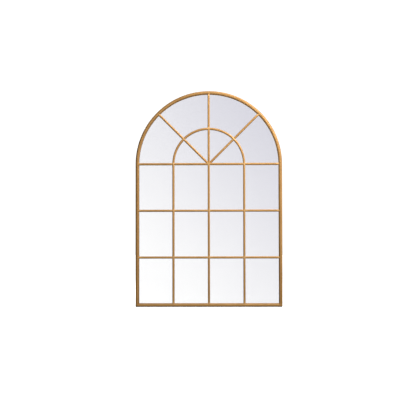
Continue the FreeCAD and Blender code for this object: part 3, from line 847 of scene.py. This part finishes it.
def ring_rings(middle, centre):
    """A D-ring carried along its closed loop: the pin, a small corner, the bow round a lower centre, a small
    corner. The section is a power curve, round in the pin and nearly square in the bow."""
    radius = ring_half - ring_bar_radius
    span = radius - ring_corner
    bend = math.sqrt(span ** 2 - (ring_drop - ring_corner) ** 2)
    lean = math.asin((ring_drop - ring_corner) / span)
    corner = np.linspace(math.pi / 2, lean, corner_steps)
    bow = np.linspace(lean, -math.pi - lean, bow_steps)
    pin = np.linspace(-bend, bend, corner_steps)[1:-1]
    right = np.column_stack([bend + ring_corner * np.cos(corner), ring_corner * (np.sin(corner) - 1)])
    round_bow = np.column_stack([radius * np.cos(bow), radius * np.sin(bow) - ring_drop])[1:-1]
    left = (right * (-1, 1))[::-1]
    straight = np.column_stack([pin, np.zeros(len(pin))])
    path = np.vstack([straight, right, round_bow, left])
    square = np.concatenate([np.zeros(len(pin)), np.ones(len(path) - len(pin))])
    ahead = np.roll(path, -1, axis=0) - np.roll(path, 1, axis=0)
    ahead /= np.linalg.norm(ahead, axis=1, keepdims=True)
    outward = np.column_stack([-ahead[:, 1], ahead[:, 0]])
    turn = np.arange(ring_points) * 2 * np.pi / ring_points
    power = (2 / (2 + bow_squareness * square))[:, None]
    off = ring_bar_radius * np.sign(np.cos(turn)) * np.abs(np.cos(turn)) ** power
    deep = ring_bar_radius * np.sign(np.sin(turn)) * np.abs(np.sin(turn)) ** power
    x = middle + path[:, :1] + outward[:, :1] * off
    up = path[:, 1:] + outward[:, 1:] * off
    y = centre[0] + deep * math.cos(ring_rest) - up * math.sin(ring_rest)
    z = centre[1] + deep * math.sin(ring_rest) + up * math.cos(ring_rest)
    return np.stack([x, y, z], axis=-1)


for side in ("left", "right"):
    strap_node, ring_node = f"hanger_strap_{side}", f"hanger_ring_{side}"
    low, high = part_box(strap_node)
    pin_x, pin_y, pin_z = pivots[ring_node]
    roll_radius = pin_y - low.y - strap_thickness / 2
    rings = strap_rings(pin_x, (high.x - low.x) / 2, low.z, (pin_y, pin_z), roll_radius)
    strap = skin(f"{strap_node}_plate", [rings], zinc)
    seat(strap, "mirror", "zinc_steel", strap_node)
    low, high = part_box(ring_node)
    ring_half = (high.x - low.x) / 2
    ring = skin(f"{ring_node}_bow", [ring_rings(pin_x, (pin_y, pin_z))], zinc, wrap=True)
    seat(ring, ring_node, "zinc_steel", ring_node)

# The wall bumpers: two moulded rubber pads stuck to the back of the bottom rail, which keep the frame's foot
# off the wall. Their rear rim is rounded.

bumper_points = 64
bumper_rim = 1.4 * MM
bumper_draft = 0.3 * MM


def rubber(paint):
    """Matt black rubber with the fine grain of its mould and a little grey bloom."""
    place = paint.make("TexCoord", {}, {}, output="Object")
    grain = noise(place, 1800, 2.0)
    bloom = noise(place, 150, 3.0)
    tone = bloom.ramp((0.35, (0.018, 0.018, 0.019)), (0.75, (0.045, 0.044, 0.043)))
    bump = paint.make("Bump", {}, {"Strength": 0.3, "Distance": 0.05 * MM, "Height": grain})
    return {"Base Color": tone, "Roughness": 0.62 + bloom * 0.2, "Normal": bump}


black_rubber = surface("black_rubber", rubber)
for side in ("left", "right"):
    node = f"bumper_{side}"
    low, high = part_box(node)
    middle = (low + high) / 2
    radius = (high.x - low.x) / 2
    turn = np.arange(bumper_points) * 2 * np.pi / bumper_points
    swing = np.linspace(0, np.pi / 2, 2 * arc_steps)
    rim = radius - bumper_draft - bumper_rim * (1 - np.cos(swing))
    rise = high.y - bumper_rim * (1 - np.sin(swing))
    reach = np.concatenate([[radius], rim])[:, None]
    depth = np.concatenate([[low.y], rise])[:, None]
    x = middle.x + reach * np.cos(turn)
    z = middle.z + reach * np.sin(turn)
    pad = skin(f"{node}_pad", [np.stack([x, np.broadcast_to(depth, x.shape), z], axis=-1)], black_rubber)
    seat(pad, "mirror", "rubber", node)

# The studio: a plain white floor and five soft boxes, of which the near one is kept out of the mirror and
# one stands behind. A dim room fills in, and what the mirror sees is a wide sheet in front, white at the
# lower left and a cool grey at the upper right.

floor_size = 30.0
floor_drop = 0.5 * MM
soft_boxes = [
    ("key_box", (1.5, -0.9, 2.2), 1.6, 1.6, 22),
    ("right_box", (1.7, -0.35, 1.0), 1.4, 1.8, 10),
    ("top_box", (0.3, -0.35, 2.4), 1.8, 1.0, 8),
    ("near_box", (0.42, -0.85, 1.2), 0.5, 0.5, 12),
    ("rear_box", (-1.0, 2.2, 1.9), 1.6, 1.6, 38),
]
glow_right = 0.05
glow_left = 0.01
glow_top = 0.6
glow_low = 0.12
glow_front = 1.1
sheet_glow = 1.1
sheet_reach = 1.2
sheet_tones = [
    (-1.2, (0.50, 0.50, 0.52)),
    (-0.5, (0.80, 0.80, 0.81)),
    (-0.151, (1.0, 1.0, 1.0)),
    (-0.101, (0.97, 0.97, 0.975)),
    (0.163, (0.69, 0.685, 0.75)),
    (0.6, (0.50, 0.50, 0.55)),
    (1.2, (0.40, 0.40, 0.43)),
]
backdrop_glow = 1.15


def floor_paint(paint):
    """Matt white with a faint mottle, which glows so that it stays plain white."""
    place = paint.make("TexCoord", {}, {}, output="Object")
    tone = noise(place, 3, 2.0).ramp((0.3, (0.89, 0.89, 0.89)), (0.7, (0.91, 0.91, 0.91)))
    return {"Base Color": tone, "Roughness": 0.9, "Emission Color": (1, 1, 1, 1), "Emission Strength": 1.2}


corners = np.array([(-1, -1), (1, -1), (1, 1), (-1, 1)]) * floor_size / 2
floor_mesh = bpy.data.meshes.new("floor")
floor_mesh.from_pydata([(x, y, -floor_drop) for x, y in corners], [], [(0, 1, 2, 3)])
floor_mesh.materials.append(surface("floor_white", floor_paint))
floor = bpy.data.objects.new("floor", floor_mesh)
floor.visible_diffuse = False
floor.visible_glossy = False
floor.visible_transmission = False
bpy.context.scene.collection.objects.link(floor)

for name, place, width, height, power in soft_boxes:
    lamp = bpy.data.lights.new(name, "AREA")
    lamp.shape = "RECTANGLE"
    lamp.size = width
    lamp.size_y = height
    lamp.energy = power
    box = bpy.data.objects.new(name, lamp)
    box.location = place
    box.rotation_euler = (Vector((0, 0, spring_height)) - Vector(place)).to_track_quat("-Z", "Y").to_euler()
    box.visible_camera = False
    box.visible_glossy = name != "near_box"
    box.visible_transmission = box.visible_glossy
    bpy.context.scene.collection.objects.link(box)

world = bpy.data.worlds.new("studio")
world.use_nodes = True
world.node_tree.nodes.clear()
bpy.context.scene.world = world
air = Shade(world.node_tree)
way = air.make("TexCoord", {}, {}, output="Generated")
sideways = way.make("SeparateXYZ", {}, {"Vector": way}, output="X")
forward = way.make("SeparateXYZ", {}, {"Vector": way}, output="Y")
upwards = way.make("SeparateXYZ", {}, {"Vector": way}, output="Z")
right, top = sideways.maths("MAXIMUM", sideways, 0.0), upwards.maths("MAXIMUM", upwards, 0.0)
left, low = right - sideways, top - upwards
# The front's glow falls off with the eighth power of how far forward a direction points
ahead = forward * forward
ahead = ahead * ahead
room = right * right * glow_right + left * left * glow_left + ahead * ahead * glow_front
room = room + top * top * glow_top + low * low * glow_low
fade = (sideways + upwards + sheet_reach) * (0.5 / sheet_reach)
front = fade.ramp(*[(0.5 + 0.5 * slant / sheet_reach, tone) for slant, tone in sheet_tones])
seen = air.make("LightPath", {}, {}, output="Is Camera Ray")
mirrored_ray = air.make("LightPath", {}, {}, output="Is Singular Ray")
glow = air.make("Background", {}, {"Color": (1, 1, 1, 1), "Strength": room})
sheet = air.make("Background", {}, {"Color": front, "Strength": sheet_glow})
white = air.make("Background", {}, {"Color": (1, 1, 1, 1), "Strength": backdrop_glow})
indoors = air.make("MixShader", {}, {0: mirrored_ray, 1: glow, 2: sheet})
everywhere = air.make("MixShader", {}, {0: seen, 1: indoors, 2: white})
air.make("OutputWorld", {}, {"Surface": everywhere})

# The camera: nearly straight in front, a little low and to the right, as far off as a portrait lens puts it.

photo_span = 2.313
view_distance = 5.0
view_aim = Vector((-4.6 * MM, 0, 0.548))
view_pitch = 0.033
view_yaw = 0.019
view_roll = -0.0018
sensor_width = 36.0

camera_data = bpy.data.cameras.new("camera")
camera_data.sensor_width = sensor_width
camera_data.lens = sensor_width * view_distance / photo_span
camera = bpy.data.objects.new("camera", camera_data)
view_side = Vector((math.sin(view_yaw), -1, -math.sin(view_pitch))).normalized()
camera.location = view_aim + view_distance * view_side
facing = (view_aim - camera.location).to_track_quat("-Z", "Y")
camera.rotation_euler = (facing @ Quaternion((0, 0, 1), view_roll)).to_euler()
bpy.context.scene.collection.objects.link(camera)
bpy.context.scene.camera = camera
bpy.context.scene.view_settings.view_transform = "Standard"
